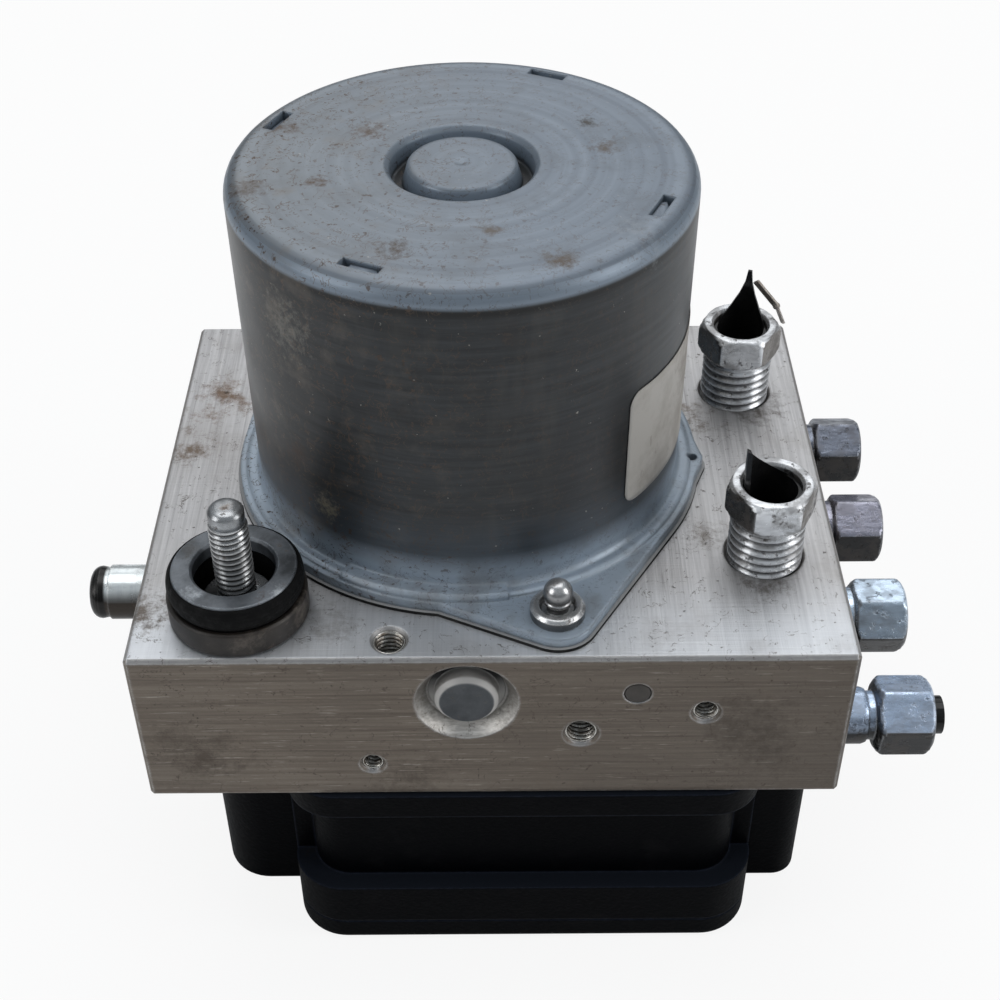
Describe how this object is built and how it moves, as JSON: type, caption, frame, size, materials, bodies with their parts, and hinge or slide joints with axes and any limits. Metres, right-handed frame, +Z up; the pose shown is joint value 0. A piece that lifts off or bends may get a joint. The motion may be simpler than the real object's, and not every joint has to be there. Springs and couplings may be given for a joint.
{
  "type": "anti-lock brake module",
  "caption": "Anti-lock brake module: aluminium valve block with a pump motor on top, a control unit below, inlet and wheel line nuts, rubber mount and locating pin.",
  "frame": {"origin": "underside of the control unit's cover, on the valve block's two centre planes", "axes": "+Z up along the motor axis, +X towards the wheel line nuts, -Y towards the face with the pump plug and three threaded holes"},
  "size_m": [0.1372, 0.1054, 0.1253],
  "materials": {
    "block_aluminium": "brushed, oxidised and stained",
    "motor_zinc": "dull zinc plating over drawn steel",
    "gasket_rubber": "matt black",
    "screw_steel": "dull steel",
    "nut_zinc": "zinc plated, worn",
    "stub_black": "torn black sleeve",
    "unit_plastic": "fine textured, dusty",
    "cup_steel": "dark, stained",
    "ring_zinc": "dull zinc",
    "pin_steel": "turned",
    "magnet_ferrite": "matt ferrite",
    "core_steel": "ground",
    "spring_steel": "drawn",
    "copper": "bright copper",
    "brush_carbon": "pressed carbon",
    "piston_plastic": "moulded, natural",
    "coil_black": "moulded over the winding",
    "board_green": "coated laminate"
  },
  "bodies": {
    "module": {"accumulator_caps": "core_steel", "accumulator_spring_left": "spring_steel", "accumulator_spring_right": "spring_steel", "brush_plate": "unit_plastic", "brush_springs": "spring_steel", "circuit_board": "board_green", "connector_pins": "copper", "damper_cup": "cup_steel", "damper_ring": "ring_zinc", "damper_rubber": "gasket_rubber", "damper_stud": "ring_zinc", "ecu_cover": "unit_plastic", "ecu_housing": "unit_plastic", "ecu_screws": "screw_steel", "ecu_seal": "gasket_rubber", "gallery_ball_plug": "screw_steel", "hydraulic_block": "block_aluminium", "inlet_nut_back": "nut_zinc", "inlet_nut_front": "nut_zinc", "inlet_sliver": "screw_steel", "inlet_stub_back": "stub_black", "inlet_stub_front": "stub_black", "locating_pin": "pin_steel", "main_bearing": "core_steel", "motor_can": "motor_zinc", "motor_gasket": "gasket_rubber", "motor_magnets": "magnet_ferrite", "motor_screw_collars": "screw_steel", "motor_screws": "screw_steel", "pilot_bearing": "core_steel", "pump_plug_back": "screw_steel", "pump_plug_front": "screw_steel", "pump_spring_back": "spring_steel", "pump_spring_front": "spring_steel", "terminal_pins": "copper", "top_bearing": "core_steel", "valve_bodies": "core_steel", "valve_coils": "coil_black", "valve_springs": "spring_steel", "wheel_line_nuts": "nut_zinc", "wheel_line_stub": "stub_black"},
    "rotor": {"armature_core": "core_steel", "armature_winding": "copper", "commutator": "copper", "rotor_shaft": "core_steel"},
    "drive_ring": {"eccentric_ring": "core_steel"},
    "front_pump_piston": {"pump_piston_front": "core_steel"},
    "back_pump_piston": {"pump_piston_back": "core_steel"},
    "left_accumulator_piston": {"accumulator_piston_left": "piston_plastic"},
    "right_accumulator_piston": {"accumulator_piston_right": "piston_plastic"},
    "left_brush": {"brush_left": "brush_carbon"},
    "right_brush": {"brush_right": "brush_carbon"},
    "valve_1_armature": {"valve_armature_1": "core_steel"},
    "valve_2_armature": {"valve_armature_2": "core_steel"},
    "valve_3_armature": {"valve_armature_3": "core_steel"},
    "valve_4_armature": {"valve_armature_4": "core_steel"},
    "valve_5_armature": {"valve_armature_5": "core_steel"},
    "valve_6_armature": {"valve_armature_6": "core_steel"},
    "valve_7_armature": {"valve_armature_7": "core_steel"},
    "valve_8_armature": {"valve_armature_8": "core_steel"}
  },
  "joints": [
    {"name": "rotor_spin", "type": "hinge", "parent": "module", "child": "rotor", "pos_m": [-0.004, 0.004, 0.09], "axis": [0, 0, 1], "continuous": true},
    {"name": "drive_ring_turn", "type": "hinge", "parent": "rotor", "child": "drive_ring", "pos_m": [-0.0028, 0.004, 0.0596], "axis": [0, 0, 1], "continuous": true},
    {"name": "front_pump_stroke", "type": "slide", "parent": "module", "child": "front_pump_piston", "axis": [0, -1, 0], "range_m": [0, 0.0024], "stiffness_N_per_m": 1500, "springref_m": -0.002, "deforming": ["pump_spring_front"]},
    {"name": "back_pump_stroke", "type": "slide", "parent": "module", "child": "back_pump_piston", "axis": [0, 1, 0], "range_m": [0, 0.0024], "stiffness_N_per_m": 1500, "springref_m": -0.002, "deforming": ["pump_spring_back"]},
    {"name": "left_accumulator_travel", "type": "slide", "parent": "module", "child": "left_accumulator_piston", "axis": [0, 0, -1], "range_m": [0, 0.004], "stiffness_N_per_m": 800, "springref_m": -0.003, "deforming": ["accumulator_spring_left"]},
    {"name": "right_accumulator_travel", "type": "slide", "parent": "module", "child": "right_accumulator_piston", "axis": [0, 0, -1], "range_m": [0, 0.004], "stiffness_N_per_m": 800, "springref_m": -0.003, "deforming": ["accumulator_spring_right"]},
    {"name": "left_brush_travel", "type": "slide", "parent": "module", "child": "left_brush", "axis": [-1, 0, 0], "range_m": [0, 0.003], "stiffness_N_per_m": 300, "springref_m": -0.003, "deforming": ["brush_springs"]},
    {"name": "right_brush_travel", "type": "slide", "parent": "module", "child": "right_brush", "axis": [1, 0, 0], "range_m": [0, 0.003], "stiffness_N_per_m": 300, "springref_m": -0.003, "deforming": ["brush_springs"]},
    {"name": "valve_1_stroke", "type": "slide", "parent": "module", "child": "valve_1_armature", "axis": [0, 0, 1], "range_m": [0, 0.0004], "stiffness_N_per_m": 1000, "springref_m": -0.001, "deforming": ["valve_springs"]},
    {"name": "valve_2_stroke", "type": "slide", "parent": "module", "child": "valve_2_armature", "axis": [0, 0, 1], "range_m": [0, 0.0004], "stiffness_N_per_m": 1000, "springref_m": -0.001, "deforming": ["valve_springs"]},
    {"name": "valve_3_stroke", "type": "slide", "parent": "module", "child": "valve_3_armature", "axis": [0, 0, 1], "range_m": [0, 0.0004], "stiffness_N_per_m": 1000, "springref_m": -0.001, "deforming": ["valve_springs"]},
    {"name": "valve_4_stroke", "type": "slide", "parent": "module", "child": "valve_4_armature", "axis": [0, 0, 1], "range_m": [0, 0.0004], "stiffness_N_per_m": 1000, "springref_m": -0.001, "deforming": ["valve_springs"]},
    {"name": "valve_5_stroke", "type": "slide", "parent": "module", "child": "valve_5_armature", "axis": [0, 0, 1], "range_m": [0, 0.0004], "stiffness_N_per_m": 1000, "springref_m": -0.001, "deforming": ["valve_springs"]},
    {"name": "valve_6_stroke", "type": "slide", "parent": "module", "child": "valve_6_armature", "axis": [0, 0, 1], "range_m": [0, 0.0004], "stiffness_N_per_m": 1000, "springref_m": -0.001, "deforming": ["valve_springs"]},
    {"name": "valve_7_stroke", "type": "slide", "parent": "module", "child": "valve_7_armature", "axis": [0, 0, 1], "range_m": [0, 0.0004], "stiffness_N_per_m": 1000, "springref_m": -0.001, "deforming": ["valve_springs"]},
    {"name": "valve_8_stroke", "type": "slide", "parent": "module", "child": "valve_8_armature", "axis": [0, 0, 1], "range_m": [0, 0.0004], "stiffness_N_per_m": 1000, "springref_m": -0.001, "deforming": ["valve_springs"]}
  ],
  "couplings": [
    {"joint": "drive_ring_turn", "follows": "rotor_spin", "ratio": -1}
  ]
}
